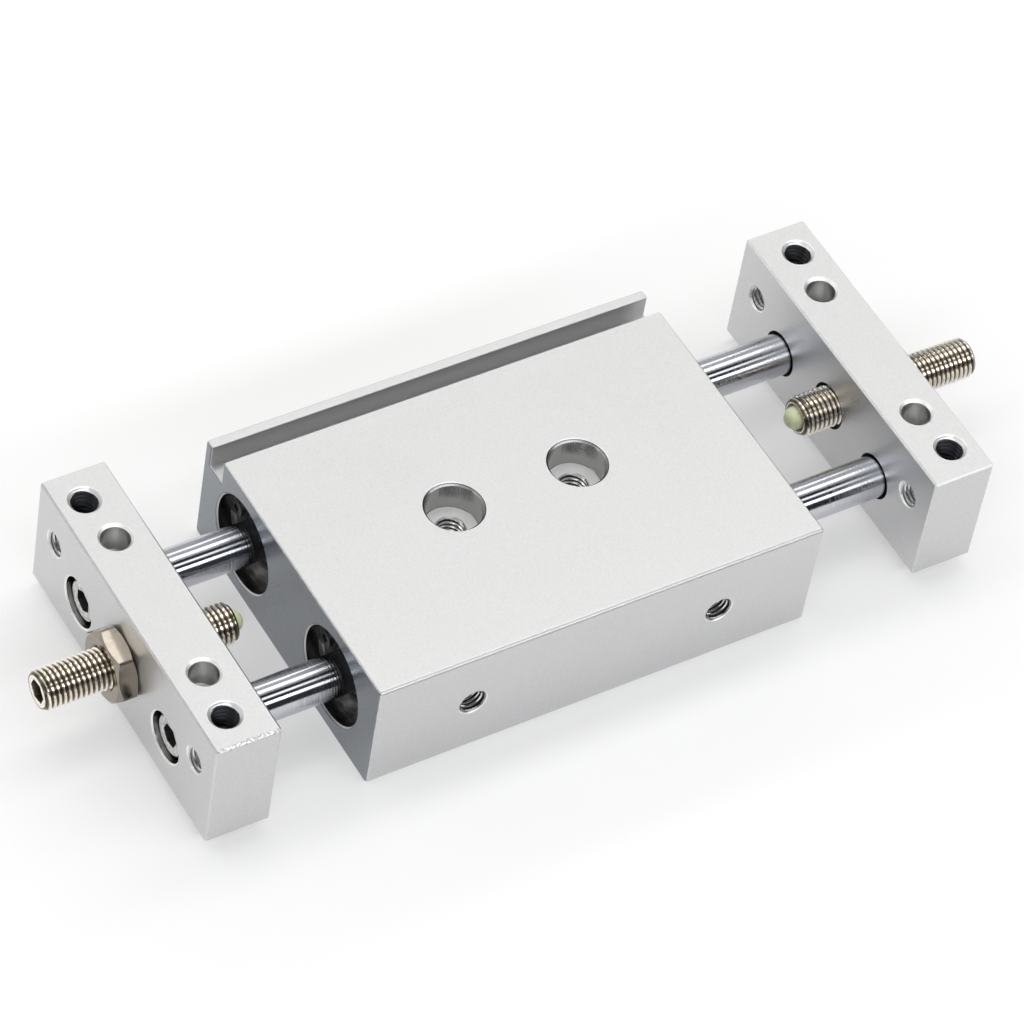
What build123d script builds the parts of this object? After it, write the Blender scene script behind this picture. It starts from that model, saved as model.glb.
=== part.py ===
from build123d import *
import math
import os

# Twin-rod pneumatic slide: two through rods carry a plate at each end and run through one housing.
# X runs along the rods, Y across the housing, Z up. The origin is the middle of the housing's base.
# All sizes are in millimetres and degrees.

# Housing block, an extruded bar with a sensor groove along its far side
housing_length = 91.4
housing_width = 64.0
housing_height = 25.0
housing_edge_radius = 0.8
end_face_chamfer = 0.3
groove_width = 4.4
groove_depth = 5.3
rail_thickness = 2.0
rail_drop = 0.5
rail_edge_radius = 0.3

# Two cylinder bores side by side, with a wider mouth at each end for the rod guides
bore_spacing = 33.0
bore_diameter = 16.0
mouth_diameter = 19.0
mouth_chamfer = 0.35
ring_setback = 3.0
ring_thickness = 1.0
ring_side_play = 0.05
ring_groove_depth = 0.5
guide_length = 12.0

# Screw holes through the housing between the bores
body_hole_spacing = 25.6
body_tap_diameter = 6.0
body_counterbore_diameter = 10.6
body_counterbore_depth = 6.2
body_counterbore_chamfer = 0.5

# Air ports in the near side
port_spacing = 51.0
port_tap_diameter = 5.0
port_depth = 5.5
port_chamfer = 0.4
air_passage_diameter = 2.5

# Rods
rod_diameter = 8.0
rod_end_chamfer = 0.4
rod_thread_depth = 14.0
rod_thread_chamfer = 0.5

# End plates: free lengths of rod at rest, and the height of the plates above the housing's base
left_free_length = 20.1
right_free_length = 22.9
plate_thickness = 12.7
plate_width = 66.2
plate_height = 25.0
plate_lift = 2.4
plate_edge_chamfer = 0.35
pocket_depth = 3.5
pocket_chamfer = 0.45
screw_counterbore_diameter = 9.8
screw_counterbore_depth = 5.9
screw_counterbore_chamfer = 0.25

# Tapped and plain holes in the top and the end faces of each plate
plate_tap_spacing = 52.6
plate_tap_offset = 1.05
plate_tap_diameter = 6.0
plate_tap_chamfer = 0.2
locating_hole_diameter = 5.5
locating_hole_depth = 6.5
locating_hole_chamfer = 0.5
end_tap_spacing = 52.8
end_tap_height = 2.9
end_tap_diameter = 5.0
end_tap_chamfer = 0.2

# Stop bolts, their lock nuts and bumpers, in the middle of each plate
stop_diameter = 8.0
stop_length = 38.0
stop_end_chamfer = 0.6
left_stop_reach = 8.8
right_stop_reach = 7.3
stop_socket_width = 4.0
stop_socket_depth = 4.5
stop_hole_chamfer = 0.5
nut_width = 13.0
nut_thickness = 4.0
nut_chamfer_angle = 30.0
left_nut_turn = -8.5
right_nut_turn = 12.0
bumper_diameter = 4.4
bumper_stem_length = 6.0
bumper_reach = 2.2
bumper_mouth_chamfer = 0.45

# Socket screws that hold the rods
screw_diameter = 5.0
screw_length = 16.0
screw_head_diameter = 8.5
screw_head_height = 5.0
screw_head_chamfer = 0.4
screw_socket_width = 4.0
screw_socket_depth = 2.5

# Rod guides, rod seals and O-rings in the housing's mouths
guide_edge_chamfer = 0.4
o_ring_section = 1.6
o_ring_setback = 6.0
o_ring_groove_width = 2.0
o_ring_squeeze = 0.02
rod_seal_diameter = 13.0
rod_seal_length = 3.4
rod_seal_lip = 0.8
ring_radial_width = 1.5
ring_gap_angle = 26.0
ring_turn = 113.0
ring_ear_diameter = 3.6
ring_ear_inset = 2.6
ring_ear_hole_diameter = 1.5

# Pistons and what they carry
piston_length = 13.0
piston_clearance = 0.3
piston_chamfer = 0.5
piston_seal_width = 2.4
piston_seal_depth = 2.0
wear_ring_width = 2.6
wear_ring_depth = 1.2
magnet_width = 2.0
magnet_depth = 1.8
magnet_cover = 0.3
piston_end_land = 1.6
clip_thickness = 0.8
clip_diameter = 11.0
clip_groove_depth = 0.3
clip_gap_angle = 60.0

# Clearances, each one on the radius
running_clearance = 0.03
thread_clearance = 0.05
fitted_clearance = 0.02
seal_clearance = 0.04

# How far a cutting shape stands out past the face that it cuts
overshoot = 1.0

NEAR = -1
FAR = 1
LEFT = -1
RIGHT = 1
half_turn = 180.0
hexagon_half_angle = math.radians(30)
drill_tip_slope = math.tan(math.radians(30))

# Places that follow from the sizes
rod_height = housing_height / 2
plate_middle_height = plate_lift + plate_height / 2
left_inner_x = -housing_length / 2 - left_free_length
right_inner_x = housing_length / 2 + right_free_length
frame_middle_x = (left_inner_x + right_inner_x) / 2
rod_length = right_inner_x - left_inner_x + 2 * pocket_depth
mouth_depth = ring_setback + ring_thickness + guide_length
guide_start = ring_setback + ring_thickness

os.makedirs("parts", exist_ok=True)


def save(shape, name):
    export_step(shape, f"parts/{name}.step")


def lathe(corners):
    """Turned solid about X, from (place along X, radius) corners that start and end on the axis."""
    return revolve(make_face(Polyline(*corners, close=True)), Axis.X)


def bar(radius, start, end):
    """Round bar about X."""
    return lathe([(start, 0), (start, radius), (end, radius), (end, 0)])


def tube(inner_radius, outer_radius, start, end):
    """Tube about X."""
    corners = [(start, inner_radius), (start, outer_radius), (end, outer_radius), (end, inner_radius)]
    return lathe(corners)


def blind_hole(radius, depth, chamfer):
    """Cutter about X that enters at X = 0 and drills towards +X, with a cone at its mouth and its tip."""
    mouth = radius + chamfer
    tip = depth + radius * drill_tip_slope
    corners = [(-overshoot, 0), (-overshoot, mouth), (0, mouth), (chamfer, radius), (depth, radius), (tip, 0)]
    return lathe(corners)


def through_hole(radius, length, chamfer):
    """Cutter about X from X = 0 to X = length, with a cone at both mouths."""
    mouth = radius + chamfer
    corners = [(-overshoot, 0), (-overshoot, mouth), (0, mouth), (chamfer, radius)]
    corners += [(length - chamfer, radius), (length, mouth), (length + overshoot, mouth), (length + overshoot, 0)]
    return lathe(corners)


def hexagon_cutter(width, depth):
    """Hexagon socket that enters at X = 0 and goes towards +X."""
    corner_radius = width / 2 / math.cos(hexagon_half_angle)
    profile = Plane.YZ * RegularPolygon(corner_radius, 6)
    return extrude(profile, depth) + Pos(-overshoot, 0, 0) * extrude(profile, overshoot)


def downwards(cutter):
    """Turn a cutter that points along +X so that it points along -Z."""
    return Rot(0, 90, 0) * cutter


def in_bore(shape, row):
    """Put a shape made about X on the axis of the near or the far bore."""
    return Pos(0, row * bore_spacing / 2, rod_height) * shape


def at_mouth(shape, side, row):
    """Put a shape that grows inwards from X = 0 into one mouth of the housing."""
    if side == LEFT:
        return in_bore(Pos(-housing_length / 2, 0, 0) * shape, row)
    return in_bore(Pos(housing_length / 2, 0, 0) * Rot(0, 0, half_turn) * shape, row)


def at_plate(shape, side):
    """Put a shape that grows outwards from X = 0 onto the inner face of one end plate."""
    if side == LEFT:
        return Pos(left_inner_x, 0, 0) * Rot(0, 0, half_turn) * shape
    return Pos(right_inner_x, 0, 0) * shape


def housing():
    """Extruded block with its groove, bores, screw holes and ports."""
    half_width = housing_width / 2
    rail_top = housing_height - rail_drop
    groove_floor = housing_height - groove_depth
    rail_inner = half_width - rail_thickness
    groove_inner = rail_inner - groove_width
    outline = Polyline(
        (-half_width, 0),
        (half_width, 0),
        (half_width, rail_top),
        (rail_inner, rail_top),
        (rail_inner, groove_floor),
        (groove_inner, groove_floor),
        (groove_inner, housing_height),
        (-half_width, housing_height),
        close=True,
    )
    profile = make_face(outline)
    outer_corners = profile.vertices().filter_by(
        lambda corner: abs(abs(corner.X) - half_width) < overshoot and corner.Y in (0, housing_height)
    )
    profile = fillet(outer_corners, housing_edge_radius)
    rail_corners = profile.vertices().filter_by(
        lambda corner: abs(corner.Y - rail_top) < rail_edge_radius and corner.X > groove_inner + rail_edge_radius
    )
    profile = fillet(rail_corners, rail_edge_radius)
    block = extrude(Plane.YZ * profile, housing_length / 2, both=True)
    for side in (LEFT, RIGHT):
        end = block.faces().sort_by(Axis.X)[0 if side == LEFT else -1]
        block = chamfer(end.outer_wire().edges(), end_face_chamfer)
    for row in (NEAR, FAR):
        block -= in_bore(bar(bore_diameter / 2, -housing_length / 2, housing_length / 2), row)
        for side in (LEFT, RIGHT):
            block -= at_mouth(mouth_cutter(), side, row)
    for side in (LEFT, RIGHT):
        block -= Pos(side * body_hole_spacing / 2, 0, housing_height) * downwards(body_screw_hole())
        block -= Pos(side * port_spacing / 2, -half_width, rod_height) * Rot(0, 0, 90) * port_cutter()
    return block


def mouth_cutter():
    """Wide mouth of one bore, with the groove for its retaining ring."""
    radius = mouth_diameter / 2
    groove_radius = radius + ring_groove_depth
    groove_start = ring_setback - ring_side_play
    groove_end = ring_setback + ring_thickness + ring_side_play
    corners = [(-overshoot, 0), (-overshoot, radius + mouth_chamfer), (0, radius + mouth_chamfer)]
    corners += [(mouth_chamfer, radius), (groove_start, radius), (groove_start, groove_radius)]
    corners += [(groove_end, groove_radius), (groove_end, radius), (mouth_depth, radius), (mouth_depth, 0)]
    return lathe(corners)


def body_screw_hole():
    """Tapped hole right through the housing, with a counterbore in its top and its base."""
    cutter = bar(body_tap_diameter / 2, 0, housing_height)
    counterbore = blind_counterbore(
        body_counterbore_diameter / 2, body_counterbore_depth, body_counterbore_chamfer
    )
    return cutter + counterbore + Pos(housing_height, 0, 0) * Rot(0, half_turn, 0) * counterbore


def blind_counterbore(radius, depth, chamfer):
    """Flat-bottomed cutter about X that enters at X = 0."""
    mouth = radius + chamfer
    return lathe([(-overshoot, 0), (-overshoot, mouth), (0, mouth), (chamfer, radius), (depth, radius), (depth, 0)])


def port_cutter():
    """Tapped port that enters at X = 0, and the air passage that joins it to both bores."""
    far_wall = housing_width / 2 + bore_spacing / 2 - bore_diameter / 2
    passage = bar(air_passage_diameter / 2, 0, far_wall + overshoot)
    return blind_hole(port_tap_diameter / 2, port_depth, port_chamfer) + passage


def end_plate():
    """End plate that grows outwards from its inner face, with all its holes."""
    block = Pos(plate_thickness / 2, 0, plate_middle_height) * Box(plate_thickness, plate_width, plate_height)
    block = chamfer(block.edges(), plate_edge_chamfer)
    plate_top = plate_lift + plate_height
    for row in (NEAR, FAR):
        rod_y = row * bore_spacing / 2
        pocket = blind_counterbore(rod_diameter / 2 + fitted_clearance, pocket_depth, pocket_chamfer)
        shank_hole = bar(screw_diameter / 2 + thread_clearance, 0, plate_thickness)
        head_hole = blind_counterbore(
            screw_counterbore_diameter / 2, screw_counterbore_depth, screw_counterbore_chamfer
        )
        head_hole = Pos(plate_thickness, 0, 0) * Rot(0, 0, half_turn) * head_hole
        block -= Pos(0, rod_y, rod_height) * (pocket + shank_hole + head_hole)
        tapped = through_hole(plate_tap_diameter / 2, plate_height, plate_tap_chamfer)
        tapped_x = plate_thickness / 2 + plate_tap_offset
        block -= Pos(tapped_x, row * plate_tap_spacing / 2, plate_top) * downwards(tapped)
        locating = blind_hole(locating_hole_diameter / 2, locating_hole_depth, locating_hole_chamfer)
        block -= Pos(plate_thickness / 2, rod_y, plate_top) * downwards(locating)
        end_tap = through_hole(end_tap_diameter / 2, plate_thickness, end_tap_chamfer)
        block -= Pos(0, row * end_tap_spacing / 2, plate_middle_height + end_tap_height) * end_tap
    stop_hole = through_hole(stop_diameter / 2 + thread_clearance, plate_thickness, stop_hole_chamfer)
    return block - Pos(0, 0, plate_middle_height) * stop_hole


def rod():
    """Through rod, tapped at both ends, with two grooves for the clips that hold its piston."""
    radius = rod_diameter / 2
    half = rod_length / 2
    groove_radius = radius - clip_groove_depth
    groove_start = piston_length / 2
    groove_end = groove_start + clip_thickness + ring_side_play
    corners = [(-half, 0), (-half, radius - rod_end_chamfer), (-half + rod_end_chamfer, radius)]
    corners += [(-groove_end, radius), (-groove_end, groove_radius)]
    corners += [(-groove_start, groove_radius), (-groove_start, radius)]
    corners += [(groove_start, radius), (groove_start, groove_radius)]
    corners += [(groove_end, groove_radius), (groove_end, radius)]
    corners += [(half - rod_end_chamfer, radius), (half, radius - rod_end_chamfer), (half, 0)]
    shaft = lathe(corners)
    thread = blind_hole(screw_diameter / 2 + fitted_clearance, rod_thread_depth, rod_thread_chamfer)
    shaft -= Pos(-half, 0, 0) * thread
    shaft -= Pos(half, 0, 0) * Rot(0, 0, half_turn) * thread
    return Pos(frame_middle_x, 0, 0) * shaft


def rod_screw():
    """Socket head screw, with its head's seat on the floor of the counterbore and its shank in the rod."""
    seat = plate_thickness - screw_counterbore_depth
    head_top = seat + screw_head_height
    head_radius = screw_head_diameter / 2
    shank_radius = screw_diameter / 2
    tip = seat - screw_length
    corners = [(tip, 0), (tip, shank_radius - screw_head_chamfer), (tip + screw_head_chamfer, shank_radius)]
    corners += [(seat, shank_radius), (seat, head_radius), (head_top - screw_head_chamfer, head_radius)]
    corners += [(head_top, head_radius - screw_head_chamfer), (head_top, 0)]
    screw = lathe(corners)
    socket = Pos(head_top, 0, 0) * Rot(0, 0, half_turn) * hexagon_cutter(screw_socket_width, screw_socket_depth)
    return screw - socket


def stop_bolt(reach):
    """Stop bolt about X, with a socket in its outer end and a bore for the bumper in its inner end."""
    radius = stop_diameter / 2
    inner = -reach
    outer = inner + stop_length
    corners = [(inner, 0), (inner, radius - stop_end_chamfer), (inner + stop_end_chamfer, radius)]
    corners += [(outer - stop_end_chamfer, radius), (outer, radius - stop_end_chamfer), (outer, 0)]
    bolt = lathe(corners)
    socket = Pos(outer, 0, 0) * Rot(0, 0, half_turn) * hexagon_cutter(stop_socket_width, stop_socket_depth)
    stem_hole = blind_counterbore(
        bumper_diameter / 2 + running_clearance, bumper_stem_length, bumper_mouth_chamfer
    )
    return Pos(0, 0, plate_middle_height) * (bolt - socket - Pos(inner, 0, 0) * stem_hole)


def bumper(reach):
    """Soft bumper: a stem in the bolt's bore and a domed tip in front of the bolt."""
    radius = bumper_diameter / 2
    rim = -reach
    root = rim + bumper_stem_length - fitted_clearance
    shoulder = rim + bumper_mouth_chamfer
    tip = rim - bumper_reach
    dome_height = shoulder - tip
    dome_radius = (dome_height**2 + radius**2) / (2 * dome_height)
    centre = tip + dome_radius
    half_angle = math.atan2(radius, centre - shoulder) / 2
    crown = (centre - dome_radius * math.cos(half_angle), dome_radius * math.sin(half_angle))
    outline = Polyline((tip, 0), (root, 0), (root, radius), (shoulder, radius))
    outline += ThreePointArc((shoulder, radius), crown, (tip, 0))
    return Pos(0, 0, plate_middle_height) * revolve(make_face(outline), Axis.X)


def lock_nut(turn):
    """Thin hexagon nut on the outer face of an end plate, chamfered on both faces."""
    corner_radius = nut_width / 2 / math.cos(hexagon_half_angle)
    prism = extrude(Plane.YZ * RegularPolygon(corner_radius, 6), nut_thickness)
    flat_radius = nut_width / 2
    slope = (corner_radius - flat_radius) * math.tan(math.radians(nut_chamfer_angle))
    corners = [(0, 0), (0, flat_radius), (slope, corner_radius), (nut_thickness - slope, corner_radius)]
    corners += [(nut_thickness, flat_radius), (nut_thickness, 0)]
    nut = prism & lathe(corners)
    nut -= through_hole(stop_diameter / 2 + thread_clearance, nut_thickness, stop_hole_chamfer)
    return Pos(plate_thickness, 0, plate_middle_height) * Rot(turn, 0, 0) * nut


def rod_guide():
    """Rod guide that grows inwards from its retaining ring, with a seal recess and an O-ring groove."""
    outer = mouth_diameter / 2 - fitted_clearance
    inner = rod_diameter / 2 + running_clearance
    recess = rod_seal_diameter / 2 + fitted_clearance
    groove = outer - o_ring_section - fitted_clearance
    start = guide_start
    end = mouth_depth
    groove_start = o_ring_middle() - o_ring_groove_width / 2
    groove_end = o_ring_middle() + o_ring_groove_width / 2
    recess_end = start + rod_seal_length + fitted_clearance
    corners = [(recess_end, inner), (recess_end, recess), (start, recess), (start, outer - guide_edge_chamfer)]
    corners += [(start + guide_edge_chamfer, outer), (groove_start, outer), (groove_start, groove)]
    corners += [(groove_end, groove), (groove_end, outer), (end - guide_edge_chamfer, outer)]
    corners += [(end, outer - guide_edge_chamfer), (end, inner)]
    return lathe(corners)


def o_ring_middle():
    """Distance of an O-ring from the housing's end face."""
    return guide_start + o_ring_setback


def o_ring():
    """O-ring in the guide's groove."""
    section = o_ring_section / 2
    middle = mouth_diameter / 2 - fitted_clearance - o_ring_squeeze - section
    ring = Rot(0, 90, 0) * Torus(middle, section)
    return Pos(o_ring_middle(), 0, 0) * ring


def rod_seal():
    """Lipped rod seal that fills the recess at the front of a rod guide."""
    outer = rod_seal_diameter / 2
    inner = rod_diameter / 2 + seal_clearance
    start = guide_start
    end = start + rod_seal_length
    valley = (outer + inner) / 2
    corners = [(start, inner), (start, inner + rod_seal_lip), (start + rod_seal_lip, valley)]
    corners += [(start, outer - rod_seal_lip), (start, outer), (end, outer), (end, inner)]
    return lathe(corners)


def retaining_ring():
    """Internal retaining ring with its two drilled ears at its gap, turned away from straight up."""
    outer = mouth_diameter / 2 + ring_groove_depth - fitted_clearance
    inner = mouth_diameter / 2 + ring_groove_depth - ring_radial_width
    start = ring_setback
    end = ring_setback + ring_thickness
    ring = tube(inner, outer, start, end)
    gap_half = ring_gap_angle / 2
    reach = 2 * outer
    half_gap = reach * math.tan(math.radians(gap_half))
    wedge = make_face(Polyline((0, 0), (-half_gap, reach), (half_gap, reach), close=True))
    ring -= Pos(start - overshoot, 0, 0) * extrude(Plane.YZ * wedge, ring_thickness + 2 * overshoot)
    ear_radius = ring_ear_diameter / 2
    ear_height = inner - ring_ear_inset + ear_radius
    ear_angle = gap_half + math.degrees(ear_radius / ear_height)
    for direction in (NEAR, FAR):
        neck = Pos(0, 0, (ear_height + inner + ring_ear_inset / 2) / 2) * Box(
            ring_thickness, ring_ear_diameter, inner + ring_ear_inset / 2 - ear_height
        )
        ear = bar(ear_radius, start, end) + Pos((start + end) / 2, 0, -ear_height) * neck
        ear -= bar(ring_ear_hole_diameter / 2, start - overshoot, end + overshoot)
        lobe = Rot(direction * ear_angle, 0, 0) * Pos(0, 0, ear_height) * ear
        ring += lobe & bar(outer, start, end)
    return Rot(-ring_turn, 0, 0) * ring


def piston():
    """Piston on the middle of its rod, with grooves for the seal, the wear ring and the magnet."""
    outer = bore_diameter / 2 - piston_clearance
    inner = rod_diameter / 2 + fitted_clearance
    half = piston_length / 2
    corners = [(-half, inner), (-half, outer - piston_chamfer), (-half + piston_chamfer, outer)]
    for start, end, depth in piston_grooves():
        corners += [(start, outer), (start, outer - depth), (end, outer - depth), (end, outer)]
    corners += [(half - piston_chamfer, outer), (half, outer - piston_chamfer), (half, inner)]
    return Pos(frame_middle_x, 0, 0) * lathe(corners)


def piston_grooves():
    """Start, end and depth of the wear ring's, the seal's and the magnet's groove."""
    half = piston_length / 2
    wear_start = -half + piston_end_land
    magnet_end = half - piston_end_land
    return [
        (wear_start, wear_start + wear_ring_width, wear_ring_depth),
        (-piston_seal_width / 2, piston_seal_width / 2, piston_seal_depth),
        (magnet_end - magnet_width, magnet_end, magnet_depth),
    ]


def in_groove(groove, outer):
    """Ring that fills one groove of the piston up to an outer radius."""
    start, end, depth = groove
    inner = bore_diameter / 2 - piston_clearance - depth + fitted_clearance
    ring = tube(inner, outer, start + fitted_clearance, end - fitted_clearance)
    return Pos(frame_middle_x, 0, 0) * ring


def piston_clips():
    """Two open clips in the rod's grooves, one at each end of the piston."""
    outer = clip_diameter / 2
    inner = rod_diameter / 2 - clip_groove_depth + fitted_clearance
    reach = 2 * outer
    half_gap = reach * math.tan(math.radians(clip_gap_angle / 2))
    wedge = make_face(Polyline((0, 0), (-half_gap, reach), (half_gap, reach), close=True))
    ring = tube(inner, outer, 0, clip_thickness) - extrude(Plane.YZ * wedge, clip_thickness)
    first = Pos(frame_middle_x + piston_length / 2 + fitted_clearance, 0, 0) * ring
    last = Pos(frame_middle_x - piston_length / 2 - fitted_clearance - clip_thickness, 0, 0) * ring
    return first, last


ROWS = {"near": NEAR, "far": FAR}
SIDES = {"left": LEFT, "right": RIGHT}
STOP_REACH = {"left": left_stop_reach, "right": right_stop_reach}
NUT_TURN = {"left": left_nut_turn, "right": right_nut_turn}

save(housing(), "housing")

for row_name, row in ROWS.items():
    for side_name, side in SIDES.items():
        save(at_mouth(rod_guide(), side, row), f"rod_guide_{side_name}_{row_name}")
        save(at_mouth(o_ring(), side, row), f"guide_o_ring_{side_name}_{row_name}")
        save(at_mouth(rod_seal(), side, row), f"rod_seal_{side_name}_{row_name}")
        save(at_mouth(retaining_ring(), side, row), f"retaining_ring_{side_name}_{row_name}")

wear_groove, seal_groove, magnet_groove = piston_grooves()
sliding_radius = bore_diameter / 2 - seal_clearance
magnet_radius = bore_diameter / 2 - piston_clearance - magnet_cover
for row_name, row in ROWS.items():
    save(in_bore(rod(), row), f"rod_{row_name}")
    save(in_bore(piston(), row), f"piston_{row_name}")
    save(in_bore(in_groove(seal_groove, sliding_radius), row), f"piston_seal_{row_name}")
    save(in_bore(in_groove(wear_groove, sliding_radius), row), f"wear_ring_{row_name}")
    save(in_bore(in_groove(magnet_groove, magnet_radius), row), f"piston_magnet_{row_name}")
    save(Compound(children=[in_bore(clip, row) for clip in piston_clips()]), f"piston_clips_{row_name}")

for side_name, side in SIDES.items():
    screws = [at_plate(in_bore(rod_screw(), row), side) for row in ROWS.values()]
    save(at_plate(end_plate(), side), f"end_plate_{side_name}")
    save(Compound(children=screws), f"rod_screws_{side_name}")
    save(at_plate(stop_bolt(STOP_REACH[side_name]), side), f"stop_bolt_{side_name}")
    save(at_plate(bumper(STOP_REACH[side_name]), side), f"bumper_{side_name}")
    save(at_plate(lock_nut(NUT_TURN[side_name]), side), f"lock_nut_{side_name}")
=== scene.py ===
# %% [markdown]
# # A twin-rod pneumatic slide, dressed for the camera
#
# The part is a flat aluminium housing that rides on two chromed rods. A plate at each end joins the rods,
# and a threaded stop bolt with a soft tip stands in the middle of each plate. Its solids come ready made,
# with every size right. What they lack is what the eye looks for in a close view: screw threads,
# rounded nut corners, a knurled screw head, and above all the finish of each metal.
# This lesson adds them one at a time.

# %% Load the solids
import math

import bmesh
import bpy
from mathutils import Matrix, Vector


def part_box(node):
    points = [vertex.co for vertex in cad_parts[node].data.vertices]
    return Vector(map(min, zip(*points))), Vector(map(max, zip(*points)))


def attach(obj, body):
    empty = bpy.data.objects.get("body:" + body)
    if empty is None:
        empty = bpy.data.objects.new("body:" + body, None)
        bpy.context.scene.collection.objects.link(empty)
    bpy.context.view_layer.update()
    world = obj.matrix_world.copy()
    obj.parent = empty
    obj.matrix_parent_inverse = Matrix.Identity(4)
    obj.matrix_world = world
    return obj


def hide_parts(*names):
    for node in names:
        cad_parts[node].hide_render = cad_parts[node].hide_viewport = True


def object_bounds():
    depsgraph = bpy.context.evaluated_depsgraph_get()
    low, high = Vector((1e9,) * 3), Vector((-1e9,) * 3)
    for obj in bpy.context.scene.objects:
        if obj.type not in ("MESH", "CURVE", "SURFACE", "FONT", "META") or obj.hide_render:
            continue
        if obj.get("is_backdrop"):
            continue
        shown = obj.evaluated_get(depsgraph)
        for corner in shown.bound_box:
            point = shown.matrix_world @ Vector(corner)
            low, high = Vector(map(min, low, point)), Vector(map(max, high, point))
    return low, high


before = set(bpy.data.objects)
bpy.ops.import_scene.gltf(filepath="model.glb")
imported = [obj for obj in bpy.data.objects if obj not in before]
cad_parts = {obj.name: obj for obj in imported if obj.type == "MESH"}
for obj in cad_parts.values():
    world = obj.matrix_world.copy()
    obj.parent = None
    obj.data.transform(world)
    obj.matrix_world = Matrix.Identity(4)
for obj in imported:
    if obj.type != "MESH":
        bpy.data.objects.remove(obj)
cad_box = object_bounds()

# %% [markdown]
# ## Sizes to build on
#
# Blender works in metres, but a screw thread is easier to think about in millimetres. So every new shape
# is made in millimetres, and is shrunk by a thousand when it is put in its place. Where a shape has to
# meet a solid, its place is read from that solid's box, and isn't typed again.

# %% Places read from the solids
MM = 0.001
SIDES = ("left", "right")
OUTWARDS = {"left": -1, "right": 1}
ROWS = {"near": -1, "far": 1}


def box_mm(node):
    """Lowest and highest corner of a solid, in millimetres."""
    low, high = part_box(node)
    return low / MM, high / MM


housing_low, housing_high = box_mm("housing")
plate_box = {side: box_mm(f"end_plate_{side}") for side in SIDES}
bolt_box = {side: box_mm(f"stop_bolt_{side}") for side in SIDES}
nut_box = {side: box_mm(f"lock_nut_{side}") for side in SIDES}
bumper_box = {side: box_mm(f"bumper_{side}") for side in SIDES}
screw_box = {side: box_mm(f"rod_screws_{side}") for side in SIDES}
rod_box = {row: box_mm(f"rod_{row}") for row in ROWS}
rod_place = {row: (rod_box[row][0] + rod_box[row][1]) / 2 for row in ROWS}
rod_height = rod_place["near"].z
housing_size = [round(v, 2) for v in housing_high - housing_low]
print("housing", housing_size, "rods at height", round(rod_height, 2))

# %% [markdown]
# ## A finish written as sums
#
# A material is a graph of nodes, and most of its nodes only add and multiply. Written one node at a time,
# that gets long and hard to read. A small class holds the end of a wire and teaches Python's own signs to
# add the Math nodes, so that a worn edge can be written as `1 - distance / width`.

# %% A wire with arithmetic
class Wire:
    """One output inside a finish. Arithmetic on it adds Math nodes."""

    def __init__(self, finish, socket):
        self.finish = finish
        self.socket = socket

    def sum_of(self, operation, *values):
        return self.finish.node("ShaderNodeMath", {"operation": operation}, *values)

    def __add__(self, other):
        return self.sum_of("ADD", self, other)

    def __radd__(self, other):
        return self.sum_of("ADD", other, self)

    def __sub__(self, other):
        return self.sum_of("SUBTRACT", self, other)

    def __rsub__(self, other):
        return self.sum_of("SUBTRACT", other, self)

    def __mul__(self, other):
        return self.sum_of("MULTIPLY", self, other)

    def __rmul__(self, other):
        return self.sum_of("MULTIPLY", other, self)

    def __truediv__(self, other):
        return self.sum_of("DIVIDE", self, other)

    def __abs__(self):
        return self.sum_of("ABSOLUTE", self)

    def smaller(self, other):
        return self.sum_of("MINIMUM", self, other)

    def larger(self, other):
        return self.sum_of("MAXIMUM", self, other)

    def root(self):
        return self.sum_of("SQRT", self)

    def sine(self):
        return self.sum_of("SINE", self)

    def step(self, start, end):
        """0 up to start, 1 from end, and a soft slope between them."""
        kind = {"interpolation_type": "SMOOTHSTEP"}
        return self.finish.node("ShaderNodeMapRange", kind, self, start, end)


print("wire class ready")

# %% [markdown]
# ## A finish
#
# Every surface here uses the Principled shader. A finish keeps that shader and offers the few nodes that
# this part needs: the place of a point in millimetres, cloudy noise, a mix of two colours, and a bump.
# Whatever stays the same over the surface is typed straight onto the shader.

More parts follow.
